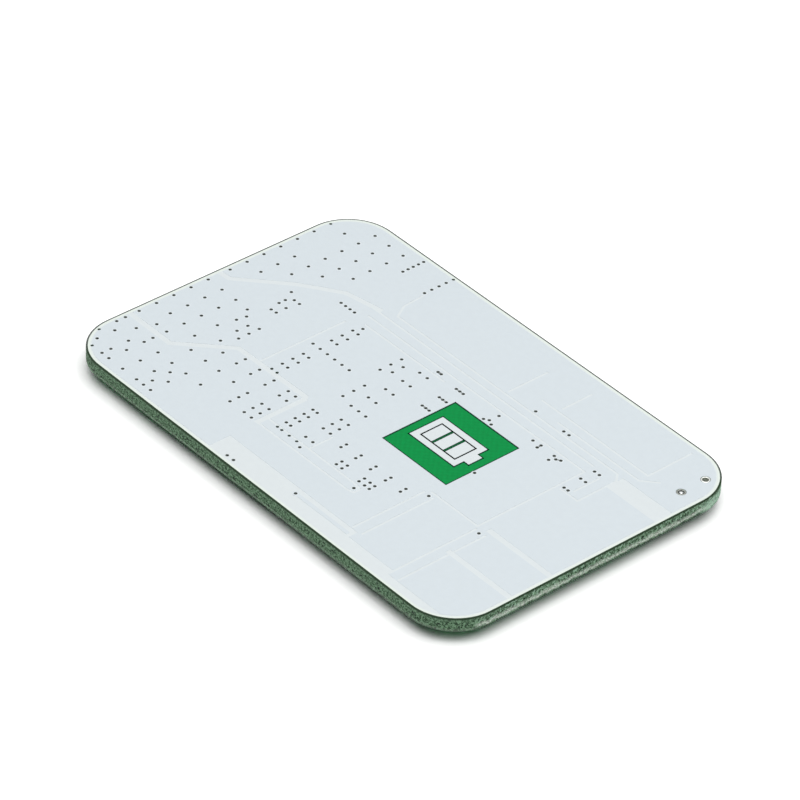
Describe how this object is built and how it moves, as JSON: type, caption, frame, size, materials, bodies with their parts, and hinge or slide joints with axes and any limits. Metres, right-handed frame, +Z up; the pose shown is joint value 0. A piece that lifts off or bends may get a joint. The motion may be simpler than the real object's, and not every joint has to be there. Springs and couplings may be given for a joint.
{
  "type": "battery protection board",
  "caption": "Flat rounded circuit board with a white printed side full of fine vias and power transistors, shunts and control parts underneath.",
  "frame": {"origin": "centre of the bounding box's footprint, on the surface that the board's tallest packages rest on", "axes": "+X along the board towards the two wire holes, +Y across it, +Z up through the white printed side"},
  "size_m": [0.092, 0.06, 0.0046],
  "materials": {
    "laminate_green": "glass-fibre laminate, sawn and routed edge, dull dark green",
    "mask_green": "glossy green solder mask, seen in the square and at the rim",
    "mask_green_component_side": "glossy green solder mask over copper tracks",
    "ink_white": "even white ink, satin, with the copper under it just showing",
    "tin": "tinned copper, slightly uneven and bright",
    "solder": "reflowed solder, satin grey with bright menisci",
    "lead_metal": "matte tin plated lead frame",
    "mould_black": "black epoxy moulding compound with fine grain",
    "resistor_black": "black glass overcoat on a ceramic chip",
    "ceramic_tan": "fired brown ceramic of a chip capacitor"
  },
  "bodies": {
    "root": {"laminate": "laminate_green", "top_mask": "mask_green", "white_ink": "ink_white", "bottom_mask": "mask_green_component_side", "wire_rings": "tin", "solder_fill": "solder", "battery_minus_pad": "tin", "pack_minus_pad": "tin", "tap_pads": "tin", "solder_lands": "solder", "shunt_resistors": "resistor_black", "shunt_terminals": "lead_metal", "monitor_body": "mould_black", "monitor_leads": "lead_metal", "driver_body": "mould_black", "driver_leads": "lead_metal", "balance_resistors": "resistor_black", "balance_resistor_ends": "solder", "balance_transistors": "mould_black", "balance_transistor_leads": "lead_metal", "chip_resistors": "resistor_black", "chip_resistor_ends": "solder", "chip_capacitors": "ceramic_tan", "chip_capacitor_ends": "solder", "clamp_diodes": "mould_black", "clamp_diode_leads": "lead_metal", "mosfet_body_1": "mould_black", "mosfet_body_2": "mould_black", "mosfet_body_3": "mould_black", "mosfet_body_4": "mould_black", "mosfet_body_5": "mould_black", "mosfet_body_6": "mould_black", "mosfet_body_7": "mould_black", "mosfet_body_8": "mould_black", "mosfet_body_9": "mould_black", "mosfet_body_10": "mould_black", "mosfet_frame_1": "lead_metal", "mosfet_frame_2": "lead_metal", "mosfet_frame_3": "lead_metal", "mosfet_frame_4": "lead_metal", "mosfet_frame_5": "lead_metal", "mosfet_frame_6": "lead_metal", "mosfet_frame_7": "lead_metal", "mosfet_frame_8": "lead_metal", "mosfet_frame_9": "lead_metal", "mosfet_frame_10": "lead_metal"}
  },
  "joints": []
}
